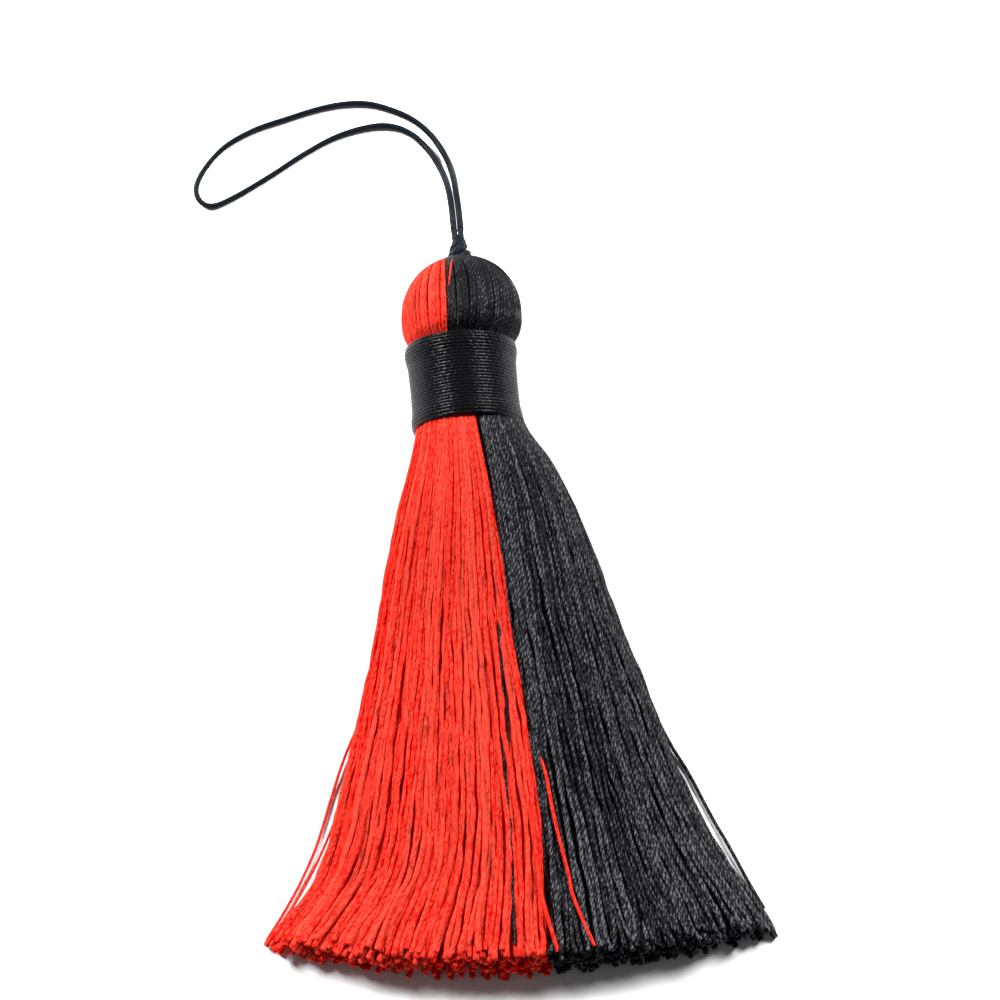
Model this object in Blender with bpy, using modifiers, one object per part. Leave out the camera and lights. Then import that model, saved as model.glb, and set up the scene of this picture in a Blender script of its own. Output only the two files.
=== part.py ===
"""Two-colour silk tassel with a hanging loop, lying on its back.

The tassel lies along Y on the surface z = 0, its head towards +Y and its cut
thread ends towards -Y. Half of it is red and half black: each half is one
bundle, folded over the hanging cord at the head, bound at the neck and
spreading below into a flat fan of threads. The cord's knot sits on the head
and its loop lies on the surface beyond it. The origin is the centre of the
tassel's footprint, loop not counted.

Sizes are in millimetres and are turned into metres when a mesh is made.
"""

import math

import bmesh
import bpy
from mathutils import Vector

MM = 0.001
MERGE_DISTANCE = 0.000001

# Lengths along the tassel
KNOT_HEIGHT = 2.4
HEAD_LENGTH = 11.2
BAND_LENGTH = 10.2
SKIRT_LENGTH = 61.0
GAP = 0.3

# The tassel's own axis: its height over the surface and its place across
AXIS_HEIGHT = 6.75
AXIS_ACROSS = -0.95

# Places along Y, from the knot's top down to the cut ends
TOTAL_LENGTH = KNOT_HEIGHT + GAP + HEAD_LENGTH + GAP + BAND_LENGTH + SKIRT_LENGTH
KNOT_TOP = TOTAL_LENGTH / 2
HEAD_TOP = KNOT_TOP - KNOT_HEIGHT - GAP
BAND_TOP = HEAD_TOP - HEAD_LENGTH - GAP
BAND_FOOT = BAND_TOP - BAND_LENGTH

# Head and neck, a turned form: distance below the head's top, radius, and the
# tilt of the plane that parts red from black, in degrees to the right
NECK_RADIUS = 5.4
NECK_INSET = 1.2
HEAD_TILT = -15.0
SKIRT_TILT = 9.4
CORE_SECTIONS = (
    (0.0, 1.35, HEAD_TILT),
    (0.45, 2.3, HEAD_TILT),
    (1.2, 3.5, HEAD_TILT),
    (2.2, 4.65, HEAD_TILT),
    (3.6, 5.8, HEAD_TILT),
    (5.4, 6.65, HEAD_TILT),
    (6.8, 6.92, HEAD_TILT),
    (8.2, 7.0, HEAD_TILT),
    (9.5, 6.88, HEAD_TILT),
    (10.6, 6.5, HEAD_TILT),
    (HEAD_LENGTH, 5.9, HEAD_TILT),
    (HEAD_LENGTH + 0.02, NECK_RADIUS, HEAD_TILT),
    (HEAD_LENGTH + GAP + 0.2 * BAND_LENGTH, NECK_RADIUS, -9.0),
    (HEAD_LENGTH + GAP + 0.4 * BAND_LENGTH, NECK_RADIUS, -2.5),
    (HEAD_LENGTH + GAP + 0.6 * BAND_LENGTH, NECK_RADIUS, 4.0),
    (HEAD_LENGTH + GAP + BAND_LENGTH - NECK_INSET, NECK_RADIUS, SKIRT_TILT),
)

# The gap between the two colours, and the steps round a half disc's outline
PARTING = 0.3
ARC_STEPS = 22
CHORD_STEPS = 5

# Skirt sections: distance below the band, reach to the left and to the right
# of the axis, place and tilt of the parting plane, height of the widest
# layer, height of the lowest thread's underside, height of the crown, share
# of the threads that lie level in the lowest layer, half a thread's width
SKIRT_SECTIONS = (
    (-1.6, 5.0, 5.0, 0.0, SKIRT_TILT, 6.75, 1.85, 11.65, 0.0, 0.14),
    (0.8, 5.2, 5.3, 0.1, SKIRT_TILT, 6.7, 1.65, 11.9, 0.0, 0.145),
    (8.0, 8.5, 10.5, 0.9, 9.0, 5.2, 0.4, 11.4, 0.0, 0.19),
    (22.0, 12.4, 15.2, 2.9, 0.0, 2.2, 0.0, 9.0, 0.0, 0.22),
    (40.0, 17.7, 21.3, 4.5, 0.0, 0.3, 0.0, 7.0, 0.05, 0.235),
    (50.0, 21.7, 25.4, 4.7, 0.0, 0.3, 0.0, 6.2, 0.06, 0.24),
    (SKIRT_LENGTH, 28.4, 29.5, 4.7, 0.0, 0.3, 0.0, 5.4, 0.08, 0.25),
)
THREADS_PER_HALF = 100
FIRST_LAYER = 0.25
HALVINGS = 30
GOLDEN = 0.618034

# Cut ends: how much shorter the outermost threads are, how uneven the cut is,
# and the step that spreads that unevenness over neighbours
CORNER_RISE = 3.0
CUT_UNEVEN = 1.1
CUT_STEP = 0.754878

# Binding of wound thread: distance below the band's top, radius
BAND_INNER_RADIUS = 5.7
BAND_OUTER = (
    (0.0, 6.15),
    (0.25, 6.4),
    (2.6, 6.25),
    (5.1, 6.2),
    (7.6, 6.22),
    (9.95, 6.32),
    (BAND_LENGTH, 6.1),
)
TURN_STEPS = 36

# Knot: height over its seat, radius
KNOT_PROFILE = (
    (KNOT_HEIGHT, 1.05),
    (2.1, 1.25),
    (1.55, 1.3),
    (1.2, 1.12),
    (0.85, 1.38),
    (0.4, 1.5),
    (0.0, 1.3),
)
KNOT_STEPS = 20

# Hanging loop: across from the axis, ahead of the knot's top, height
CORD_DIAMETER = 0.78
CORD_FLOOR = CORD_DIAMETER / 2
CORD_POINTS = 88
STEPS_PER_SPAN = 12
CORD_ROUTE = (
    (0.79, 0.3, 6.75),
    (0.73, 2.8, 6.7),
    (0.59, 5.4, 5.7),
    (0.45, 8.0, 3.9),
    (0.1, 10.6, 1.7),
    (-0.75, 13.2, 0.6),
    (-2.1, 15.5, CORD_FLOOR),
    (-4.0, 17.4, CORD_FLOOR),
    (-6.4, 18.8, CORD_FLOOR),
    (-9.1, 19.8, CORD_FLOOR),
    (-11.9, 20.0, CORD_FLOOR),
    (-15.0, 19.6, CORD_FLOOR),
    (-18.9, 18.6, CORD_FLOOR),
    (-23.0, 17.4, CORD_FLOOR),
    (-26.6, 15.5, CORD_FLOOR),
    (-29.1, 12.9, CORD_FLOOR),
    (-30.3, 10.5, CORD_FLOOR),
    (-29.9, 8.65, CORD_FLOOR),
    (-28.3, 8.0, CORD_FLOOR),
    (-25.6, 9.0, CORD_FLOOR),
    (-21.2, 11.4, CORD_FLOOR),
    (-17.4, 13.7, CORD_FLOOR),
    (-13.4, 15.7, CORD_FLOOR),
    (-9.6, 16.7, CORD_FLOOR),
    (-6.7, 16.7, CORD_FLOOR),
    (-4.25, 15.5, CORD_FLOOR),
    (-2.4, 13.3, 0.6),
    (-1.2, 10.6, 1.8),
    (-0.55, 7.9, 3.9),
    (-0.22, 5.4, 5.7),
    (-0.06, 2.8, 6.7),
    (0.0, 0.3, 6.75),
)

# Colours as linear values
RED = (0.78, 0.02, 0.012, 1.0)
BLACK = (0.008, 0.008, 0.010, 1.0)
CORD_BLACK = (0.012, 0.016, 0.020, 1.0)


def clear_scene():
    """Remove whatever the file holds."""
    for item in list(bpy.data.objects):
        bpy.data.objects.remove(item, do_unlink=True)


def collection(name):
    """A collection of the given name, linked to the scene."""
    group = bpy.data.collections.new(name)
    bpy.context.scene.collection.children.link(group)
    return group


def material(name, colour, roughness):
    """A dyed thread: matt to satin, with no metal in it."""
    made = bpy.data.materials.new(name)
    made.use_nodes = True
    shader = made.node_tree.nodes["Principled BSDF"]
    shader.inputs["Base Color"].default_value = colour
    shader.inputs["Roughness"].default_value = roughness
    shader.inputs["Metallic"].default_value = 0.0
    return made


def lofted_object(name, group, lofts):
    """An object of closed lofts, each a list of rings of equal length."""
    shape = bmesh.new()
    for rings in lofts:
        rows = [[shape.verts.new(Vector(point) * MM) for point in ring] for ring in rings]
        count = len(rows[0])
        for upper, lower in zip(rows, rows[1:]):
            for index in range(count):
                after = (index + 1) % count
                shape.faces.new((upper[index], upper[after], lower[after], lower[index]))
        shape.faces.new(rows[0])
        shape.faces.new(rows[-1])
    bmesh.ops.recalc_face_normals(shape, faces=shape.faces)
    mesh = bpy.data.meshes.new(name)
    shape.to_mesh(mesh)
    shape.free()
    made = bpy.data.objects.new(name, mesh)
    group.objects.link(made)
    return made


def turned_object(name, group, profile, closed, steps, place):
    """A profile of (radius, height) turned about Y by a Screw modifier.

    An open profile starts and ends on the axis.
    """
    shape = bmesh.new()
    points = [shape.verts.new((radius * MM, 0.0, height * MM)) for radius, height in profile]
    following = points[1:] + points[:1] if closed else points[1:]
    for first, second in zip(points, following):
        shape.edges.new((first, second))
    mesh = bpy.data.meshes.new(name)
    shape.to_mesh(mesh)
    shape.free()
    made = bpy.data.objects.new(name, mesh)
    made.location = Vector(place) * MM
    made.rotation_euler = (-math.pi / 2, 0.0, 0.0)
    group.objects.link(made)
    turn = made.modifiers.new("Turn", "SCREW")
    turn.steps = steps
    turn.render_steps = steps
    turn.use_merge_vertices = True
    turn.merge_threshold = MERGE_DISTANCE
    return made


def core_half(side):
    """Rings of one half of the head and neck, a half disc at each section."""
    rings = []
    for below, radius, tilt in CORE_SECTIONS:
        lean = math.radians(tilt)
        start = math.asin(PARTING / 2 / radius)
        outline = []
        for step in range(ARC_STEPS + 1):
            angle = start + (math.pi - 2 * start) * step / ARC_STEPS
            outline.append((radius * math.sin(angle), radius * math.cos(angle)))
        foot = outline[-1][1]
        for step in range(1, CHORD_STEPS):
            outline.append((PARTING / 2, foot * (1 - 2 * step / CHORD_STEPS)))
        ring = []
        for out, up in outline:
            across = AXIS_ACROSS + side * out * math.cos(lean) + up * math.sin(lean)
            height = AXIS_HEIGHT - side * out * math.sin(lean) + up * math.cos(lean)
            ring.append((across, HEAD_TOP - below, max(height, 0.0)))
        rings.append(ring)
    return rings


def half_disc_reach(share):
    """Distance from the flat side that has this share of a half disc's area behind it."""
    low = 0.0
    high = 1.0
    for _ in range(HALVINGS):
        reach = (low + high) / 2
        area = 2 * (reach * math.sqrt(1 - reach * reach) + math.asin(reach)) / math.pi
        if area < share:
            low = reach
        else:
            high = reach
    return (low + high) / 2


def thread_rings(side, index):
    """Rings of one square thread, from its root in the neck to its cut end.

    Thread by thread, the share across the half steps evenly and the share up
    it steps by the golden ratio, so that no two threads come close in any
    section, however flat the section is.
    """
    reach = half_disc_reach((index + 0.5) / THREADS_PER_HALF)
    outermost = half_disc_reach(1 - 0.5 / THREADS_PER_HALF)
    fullness = math.sqrt(1 - reach * reach)
    layer = (FIRST_LAYER + index * GOLDEN) % 1.0
    cut = CORNER_RISE * reach * reach + CUT_UNEVEN * (index * CUT_STEP % 1.0)
    rings = []
    for below, left, right, parting, tilt, widest, lowest, crown, level, half in SKIRT_SECTIONS:
        lean = math.radians(tilt)
        edge = (right - parting) if side > 0 else (left + parting)
        clear = PARTING / 2 + half * (math.cos(lean) + math.sin(lean))
        out = clear + (edge - half - clear) * reach / outermost
        bottom = lowest + half - widest
        top = crown - half - widest
        lift = max(0.0, (layer - level) / (1 - level))
        up = fullness * (bottom + (top - bottom) * lift)
        across = AXIS_ACROSS + parting + side * out * math.cos(lean) + up * math.sin(lean)
        height = widest - side * out * math.sin(lean) + up * math.cos(lean)
        height = max(height, half)
        along = BAND_FOOT - below
        if below == SKIRT_LENGTH:
            along += cut
        rings.append([
            (across - half, along, height - half),
            (across + half, along, height - half),
            (across + half, along, height + half),
            (across - half, along, height + half),
        ])
    return rings


def thread_bundle(name, side, group, cutters, look):
    """One colour's half: its share of the head and neck, with its threads fused in."""
    bundle = lofted_object(name, group, [core_half(side)])
    lofts = [thread_rings(side, index) for index in range(THREADS_PER_HALF)]
    threads = lofted_object(name + "_threads", cutters, lofts)
    threads.hide_render = True
    threads.display_type = "WIRE"
    join = bundle.modifiers.new("Fuse threads", "BOOLEAN")
    join.operation = "UNION"
    join.solver = "EXACT"
    join.object = threads
    bundle.data.materials.append(look)
    return bundle


def neck_binding(group, look):
    """The wound band: a turned ring, drawn in a little at its middle."""
    profile = [(radius, -below) for below, radius in BAND_OUTER]
    profile.append((BAND_INNER_RADIUS, -BAND_LENGTH))
    profile.append((BAND_INNER_RADIUS, 0.0))
    place = (AXIS_ACROSS, BAND_TOP, AXIS_HEIGHT)
    band = turned_object("neck_binding", group, profile, True, TURN_STEPS, place)
    band.data.materials.append(look)


def hanging_knot(group, look):
    """The cord's knot: two stacked turns, wider where it sits on the head."""
    profile = [(0.0, KNOT_HEIGHT)]
    profile += [(radius, height) for height, radius in KNOT_PROFILE]
    profile.append((0.0, 0.0))
    place = (AXIS_ACROSS, HEAD_TOP + GAP, AXIS_HEIGHT)
    knot = turned_object("hanging_knot", group, profile, False, KNOT_STEPS, place)
    knot.data.materials.append(look)


def curve_point(before, start, end, after, share):
    """A point of the smooth curve that runs from start to end between two others."""
    square = share * share
    cube = square * share
    return 0.5 * (
        2 * start
        + (end - before) * share
        + (2 * before - 5 * start + 4 * end - after) * square
        + (3 * start - before - 3 * end + after) * cube
    )


def even_points(route, count):
    """Evenly spaced points along the smooth curve through the route's points."""
    fine = []
    ends = [2 * route[0] - route[1]] + route + [2 * route[-1] - route[-2]]
    for before, start, end, after in zip(ends, ends[1:], ends[2:], ends[3:]):
        for step in range(STEPS_PER_SPAN):
            fine.append(curve_point(before, start, end, after, step / STEPS_PER_SPAN))
    fine.append(route[-1])
    lengths = [0.0]
    for first, second in zip(fine, fine[1:]):
        lengths.append(lengths[-1] + (second - first).length)
    points = []
    span = 0
    for step in range(count):
        target = lengths[-1] * step / (count - 1)
        while span < len(fine) - 2 and lengths[span + 1] < target:
            span += 1
        share = (target - lengths[span]) / (lengths[span + 1] - lengths[span])
        points.append(fine[span].lerp(fine[span + 1], share))
    return points


def hanging_loop(group, look):
    """The cord: out of the knot, down to the surface, round its loop and back."""
    route = [
        Vector((AXIS_ACROSS + across, KNOT_TOP + ahead, height))
        for across, ahead, height in CORD_ROUTE
    ]
    points = even_points(route, CORD_POINTS)
    line = bpy.data.curves.new("hanging_loop", "CURVE")
    line.dimensions = "3D"
    line.bevel_depth = CORD_DIAMETER / 2 * MM
    line.bevel_resolution = 2
    line.use_fill_caps = True
    spline = line.splines.new("POLY")
    spline.points.add(len(points) - 1)
    for target, point in zip(spline.points, points):
        target.co = (*(point * MM), 1.0)
    cord = bpy.data.objects.new("hanging_loop", line)
    group.objects.link(cord)
    line.materials.append(look)


def main():
    """Build the tassel's five pieces."""
    clear_scene()
    tassel = collection("two_colour_tassel")
    cutters = collection("threads_to_fuse")
    red = material("red_silk_thread", RED, 0.5)
    black = material("black_silk_thread", BLACK, 0.45)
    bound = material("black_binding_thread", BLACK, 0.4)
    corded = material("black_waxed_cord", CORD_BLACK, 0.35)
    tied = material("black_knot_cord", CORD_BLACK, 0.4)
    thread_bundle("red_thread_bundle", -1, tassel, cutters, red)
    thread_bundle("black_thread_bundle", 1, tassel, cutters, black)
    neck_binding(tassel, bound)
    hanging_knot(tassel, tied)
    hanging_loop(tassel, corded)


if __name__ == "__main__":
    main()
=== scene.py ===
"""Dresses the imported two-colour silk tassel in plied threads, and lights it.

The CAD model gives the places: the neck binding's box gives the tassel's own
axis and the two ends of the neck, and the knot's box gives the head's top and
the cord's exit. Lengths in the tables are millimetres, and are turned into
metres where a mesh or a lamp is made.
"""

import math

import bpy
import numpy as np
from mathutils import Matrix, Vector


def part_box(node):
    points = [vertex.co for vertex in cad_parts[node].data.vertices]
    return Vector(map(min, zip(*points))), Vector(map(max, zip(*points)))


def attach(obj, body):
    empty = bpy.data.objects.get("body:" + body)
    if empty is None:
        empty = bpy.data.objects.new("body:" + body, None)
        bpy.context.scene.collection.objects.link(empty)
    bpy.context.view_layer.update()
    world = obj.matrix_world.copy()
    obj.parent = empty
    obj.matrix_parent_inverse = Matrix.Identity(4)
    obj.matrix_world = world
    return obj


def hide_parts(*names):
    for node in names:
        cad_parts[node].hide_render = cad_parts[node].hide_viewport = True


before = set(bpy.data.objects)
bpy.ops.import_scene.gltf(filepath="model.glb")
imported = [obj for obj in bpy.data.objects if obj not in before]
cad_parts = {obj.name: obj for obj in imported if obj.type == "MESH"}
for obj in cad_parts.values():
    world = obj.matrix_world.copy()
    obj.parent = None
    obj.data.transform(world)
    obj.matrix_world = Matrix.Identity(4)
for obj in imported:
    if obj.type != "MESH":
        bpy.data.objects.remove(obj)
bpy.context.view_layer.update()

bl_info = {
    "name": "Two-colour silk tassel",
    "version": (1, 0, 0),
    "blender": (4, 5, 0),
    "location": "View3D > Sidebar > Tassel",
    "description": "Plied skirt and head threads, a wound neck, a knot and a cord loop",
    "category": "Object",
}

MM = 0.001
GOLDEN = 0.618034

# Thread: its plies, and how fast its fibres' noise runs round it and, per
# millimetre, along it. Real fibres are far finer than the picture can show, so
# they are drawn as coarse as small bundles of them.
PLIES = 4
FIBRES_ACROSS = 1.2
FIBRES_ALONG = 1.7

# Thread colour: how soon a side counts as open, clear of the painted shade on a
# thread's sides, how far the fibres shift a crest, how far apart threads lie in
# the fibres' noise, the scale of the slow unevenness, what each adds to the lit
# level, the level's ends, how much rougher a groove is, and how far light enters
# in metres
OPEN_SHARE = 1.15
FIBRE_SHIFT = 11.0
TONE_OFFSET = 60.0
UNEVEN_PER_METRE = 420.0
FIBRE_WEIGHT = 2.6
UNEVEN_WEIGHT = 0.3
TONE_WEIGHT = 0.5
DARKEST = 1.3
LIGHTEST = 1.95
GROOVE_ROUGHER = 0.1
GLOW_REACH = 0.0008

# Head profile: distance below the head's top, radius
HEAD_PROFILE = np.array((
    (0.5, 0.9),
    (0.85, 2.2),
    (1.45, 3.45),
    (2.3, 4.65),
    (3.65, 5.8),
    (5.4, 6.65),
    (6.8, 6.92),
    (8.2, 7.0),
    (9.5, 6.88),
    (10.6, 6.5),
    (11.4, 5.9),
    (12.2, 5.4),
))

# Skirt sections: distance below the band, reach to the left and to the right
# of the axis, place and tilt of the parting plane, height of the widest
# layer, height of the lowest thread's underside, height of the crown
SKIRT_SECTIONS = np.array((
    (-2.0, 5.9, 6.0, 0.0, 9.4, 6.75, 1.2, 12.3),
    (0.8, 6.4, 6.9, 0.1, 9.4, 6.7, 1.0, 12.6),
    (4.0, 7.3, 9.1, 0.5, 9.2, 6.1, 0.6, 12.3),
    (8.0, 8.7, 11.1, 1.0, 9.0, 5.2, 0.2, 11.6),
    (15.0, 10.6, 13.4, 2.0, 4.0, 3.6, 0.0, 10.3),
    (22.0, 12.3, 15.3, 2.9, 0.0, 2.2, 0.0, 9.0),
    (31.0, 14.8, 18.1, 3.7, 0.0, 1.0, 0.0, 7.8),
    (40.0, 17.5, 20.8, 4.3, 0.0, 0.35, 0.0, 6.9),
    (46.0, 19.4, 23.1, 4.6, 0.0, 0.35, 0.0, 6.4),
    (50.0, 21.4, 24.9, 4.7, 0.0, 0.35, 0.0, 6.2),
    (53.0, 24.1, 26.7, 4.7, 0.0, 0.35, 0.0, 6.1),
    (56.5, 27.7, 28.7, 4.7, 0.0, 0.35, 0.0, 6.0),
    (61.6, 31.8, 31.3, 4.7, 0.0, 0.35, 0.0, 5.8),
))

# Cut ends: length of the longest threads, how much shorter the outermost ones
# are on either side, how uneven the cut is, and how much shorter the upper
# threads are. The power that crowds threads towards the top.
SKIRT_LENGTH = 61.9
LEFT_CORNER_RISE = 5.6
RIGHT_CORNER_RISE = 2.6
CUT_UNEVEN = 1.0
CUT_SLANT = 2.0
CROWDING = 1.6

# Skirt threads: how far the first ones keep from the parting, how far clumped
# ones draw together, as a share, and rise or sink, the distances below the
# band at which clumping and sway are full, and where the cut ends splay
PARTING_GAP = 0.3
CLUMP_DRAW = 0.25
CLUMP_RISE = 0.2
CLUMPED_BELOW = 45.0
SWAYING_BELOW = 25.0
SPLAY_START = 0.955

# Head: how far left of the axis the colours part on the front, the angle at
# which they part at the back, its lean to the right per millimetre, and how
# far right of the axis the knot sits
HEAD_PARTING = 1.6
HEAD_BACK_PARTING = 165.0
HEAD_LEAN = 0.03
KNOT_LEAN = 0.28

# Head threads: how many radii apart they lie, and for each colour the seed of
# its unevenness and its darkest and lightest tone
HEAD_SPACING = 1.4
HEAD_COLOURS = (
    # The black head's tones are set low. This is painted shade that keeps the head as dark as the
    # skirt where the lamps behind light it more.
    ("black", 41, (-0.45, 0.35)),
    ("red", 43, (0.2, 0.7)),
)

# Neck binding: distance below the band's top, outer radius
BAND_PROFILE = np.array((
    (0.0, 6.25),
    (0.35, 6.4),
    (2.6, 6.27),
    (5.1, 6.21),
    (7.6, 6.23),
    (9.85, 6.34),
    (10.2, 6.2),
))

# Its thread: rings in each turn, and radius as a share of the turns' spacing
RINGS_PER_TURN = 130
BINDING_FILL = 0.72

# Knot: turns of its cord, radius of a strand in it, rings along each strand
KNOT_TURNS = 3.4
KNOT_STRAND = 0.45
KNOT_RINGS = 260

# Hanging loop: across from the axis, ahead of the knot's top, height. Its
# cord is this share of its diameter round the far bend.
FAR_BEND = 0.78
CORD_RINGS = 460
CORD_DIAMETER = 0.78
CORD_FLOOR = CORD_DIAMETER / 2
CORD_ROUTE = np.array((
    (0.79, 0.3, 6.75),
    (0.73, 2.8, 6.7),
    (0.59, 5.4, 5.7),
    (0.45, 8.0, 3.9),
    (0.1, 10.6, 1.7),
    (-0.75, 13.2, 0.6),
    (-2.1, 15.5, CORD_FLOOR),
    (-4.0, 17.4, CORD_FLOOR),
    (-6.4, 18.8, CORD_FLOOR),
    (-9.1, 19.8, CORD_FLOOR),
    (-11.9, 20.0, CORD_FLOOR),
    (-15.0, 19.6, CORD_FLOOR),
    (-18.9, 18.6, CORD_FLOOR),
    (-23.0, 17.4, CORD_FLOOR),
    (-26.6, 15.5, CORD_FLOOR),
    (-29.1, 12.9, CORD_FLOOR),
    (-30.3, 10.5, CORD_FLOOR),
    (-29.9, 8.65, CORD_FLOOR),
    (-28.3, 8.0, CORD_FLOOR),
    (-25.6, 9.0, CORD_FLOOR),
    (-21.2, 11.4, CORD_FLOOR),
    (-17.4, 13.7, CORD_FLOOR),
    (-13.4, 15.7, CORD_FLOOR),
    (-9.6, 16.7, CORD_FLOOR),
    (-6.7, 16.7, CORD_FLOOR),
    (-4.25, 15.5, CORD_FLOOR),
    (-2.4, 13.3, 0.6),
    (-1.2, 10.6, 1.8),
    (-0.55, 7.9, 3.9),
    (-0.22, 5.4, 5.7),
    (-0.06, 2.8, 6.7),
    (0.0, 0.3, 6.75),
))

# Stray threads: name, colour, radius, lift over the skirt, and a route of
# distances below the band and across from the axis. Each rises out of the
# skirt from this depth, over this share of its length.
STRAY_DEPTH = 1.6
STRAY_RISE = 0.22
STRAY_RINGS = 200
STRAYS = (
    ("black_thread_in_red_a", "black", 0.23, -0.2, (
        (16.0, 2.3), (20.0, 1.9), (25.0, 1.65), (31.3, 1.5), (37.6, 1.2), (42.5, 1.2),
        (46.3, 1.3), (51.7, 1.0), (58.6, 0.8))),
    ("black_thread_in_red_b", "black", 0.2, -0.3, (
        (20.0, 2.4), (25.0, 2.15), (33.0, 1.8), (41.0, 1.6), (48.0, 1.6), (58.0, 1.2))),
    ("red_thread_over_black_a", "red", 0.2, 0.25, (
        (35.6, 4.65), (38.3, 5.15), (40.4, 5.6), (44.9, 6.1), (48.0, 6.6), (51.4, 7.2), (54.2, 7.6),
        (59.4, 9.4))),
    ("red_thread_over_black_b", "red", 0.23, 0.25, (
        (42.0, 3.5), (49.2, 3.9), (52.7, 4.0), (55.7, 4.5), (59.7, 5.4))),
    ("red_flyaway_a", "red", 0.17, -0.1, (
        (26.0, -12.3), (30.9, -14.4), (35.3, -16.6), (39.5, -18.3), (44.9, -20.3), (49.0, -22.3),
        (52.6, -24.6), (55.4, -26.6))),
    ("red_flyaway_b", "red", 0.15, 0.1, (
        (33.0, -13.8), (39.5, -16.8), (44.9, -19.3), (49.0, -21.5), (52.0, -23.5), (54.0, -25.0))),
    ("black_flyaway", "black", 0.2, -0.1, (
        (26.0, 16.2), (33.3, 18.7), (37.2, 20.3), (40.1, 21.8), (45.6, 24.1), (48.4, 25.4),
        (53.0, 27.4), (56.0, 28.8))),
)

# Thread materials by kind. Each colour of the same name is in the settings.
THREAD_LOOKS = {
    # Artificial silk, dyed red, spun and doubled. Light goes into it, so it
    # glows evenly and its plies hardly show.
    "red": {
        "name": "red silk thread", "roughness": 0.7, "gloss": 0.02, "glow": 0.55,
        "contrast": 0.25, "curve": 0.8, "depth": 0.05, "shade": 0.45,
    },
    # The same silk dyed black. The glints on the crests of its plies are painted
    # highlight: short grey flecks of the crest colour, which curve keeps to the
    # crests. Its sides get strong painted shade.
    "black": {
        "name": "black silk thread", "roughness": 0.34, "gloss": 0.04, "glow": 0.0,
        "contrast": 0.7, "curve": 3.7, "depth": 0.05, "shade": 0.95,
    },
    # Hard-twisted thread, wound tight and smoothed, so its turns glint.
    "binding": {
        "name": "black binding thread", "roughness": 0.16, "gloss": 0.08, "glow": 0.0,
        "contrast": 0.8, "curve": 1.2, "depth": 0.035, "shade": 0.0,
    },
    # Cotton cord, pulled through wax and polished, so bluish black and smooth.
    "cord": {
        "name": "black waxed cord", "roughness": 0.4, "gloss": 0.06, "glow": 0.0,
        "contrast": 0.3, "curve": 1.0, "depth": 0.03, "shade": 0.0,
    },
}

# Floor: width in metres. Lamps: name, place in metres and power in watts.
FLOOR_WIDTH = 3.0
LAMPS = (
    ("lamp_left", (-0.375, 0.306, 0.365), 8.6),
    ("lamp_right", (0.375, 0.271, 0.385), 7.4),
)
LAMP_AIM = (0.0, 0.001, 0.0)
LAMP_SIZE = 0.18
ROOM_LIGHT = 0.1

# Camera: height of the point that it looks at, in metres, and its film width
AIM_HEIGHT = 0.005
FILM_WIDTH = 36.0


def box_mm(node):
    """A CAD node's lowest and highest corners, in millimetres."""
    low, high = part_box(node)
    return np.array(low) / MM, np.array(high) / MM


BAND_LOW, BAND_HIGH = box_mm("neck_binding")
KNOT_LOW, KNOT_HIGH = box_mm("hanging_knot")
NODE_GAP = 0.3
AXIS_ACROSS = (BAND_LOW[0] + BAND_HIGH[0]) / 2
AXIS_HEIGHT = (BAND_LOW[2] + BAND_HIGH[2]) / 2
BAND_TOP = BAND_HIGH[1]
BAND_FOOT = BAND_LOW[1]
HEAD_TOP = KNOT_LOW[1] - NODE_GAP
KNOT_TOP = KNOT_HIGH[1]


# Settings

class TasselThreads(bpy.types.PropertyGroup):
    """Sizes of the plied silk thread."""
    red_diameter: bpy.props.FloatProperty(
        name="Red thread", description="Plied red thread, measured over its plies",
        default=0.00058, unit="LENGTH", precision=5)
    black_diameter: bpy.props.FloatProperty(
        name="Black thread", description="Plied black thread, measured over its plies",
        default=0.00055, unit="LENGTH", precision=5)
    ply_length: bpy.props.FloatProperty(
        name="Ply length", description="Length of one full turn of the plies",
        default=0.0027, unit="LENGTH", precision=5)
    red_count: bpy.props.IntProperty(
        name="Red count", description="Red threads in the skirt", default=330)
    black_count: bpy.props.IntProperty(
        name="Black count", description="Black threads in the skirt", default=356)
    waviness: bpy.props.FloatProperty(
        name="Waviness", description="How far a thread strays sideways near its end",
        default=0.00024, unit="LENGTH", precision=5)


class TasselBinding(bpy.types.PropertyGroup):
    """Sizes of the wound neck and of the cord."""
    turns: bpy.props.IntProperty(
        name="Turns", description="Turns of thread round the neck", default=26)
    cord_ply_length: bpy.props.FloatProperty(
        name="Cord ply length", description="Length of one full turn of the cord's plies",
        default=0.0033, unit="LENGTH", precision=5)


class TasselLooks(bpy.types.PropertyGroup):
    """Colours as web hex values."""
    red: bpy.props.StringProperty(
        name="Red thread", description="The lit side of a red thread", default="#D83F30")
    # The groove colour is painted shade in the ply grooves and on the sides that neighbours shade,
    # and also the darker end of the thread's own uneven tone.
    red_deep: bpy.props.StringProperty(
        name="Red groove", description="The groove between two red plies", default="#B40602")
    # Painted highlight: this grey is the glints on the black plies' crests, painted into the
    # colour.
    black: bpy.props.StringProperty(
        name="Black thread", description="The lit side of a black thread", default="#535359")
    binding: bpy.props.StringProperty(
        name="Binding thread", description="The lit side of the neck binding", default="#0D0D10")
    # Painted shade in the ply grooves and on the shaded sides, and the darker end of the thread's
    # own uneven tone.
    black_deep: bpy.props.StringProperty(
        name="Black groove", description="The groove between two black plies", default="#050506")
    cord: bpy.props.StringProperty(
        name="Cord", description="The waxed cord's crest", default="#0E151C")
    # Painted shade in the cord's ply grooves, and the darker end of its own tone.
    cord_deep: bpy.props.StringProperty(
        name="Cord groove", description="The groove between two cord plies", default="#05070A")


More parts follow.
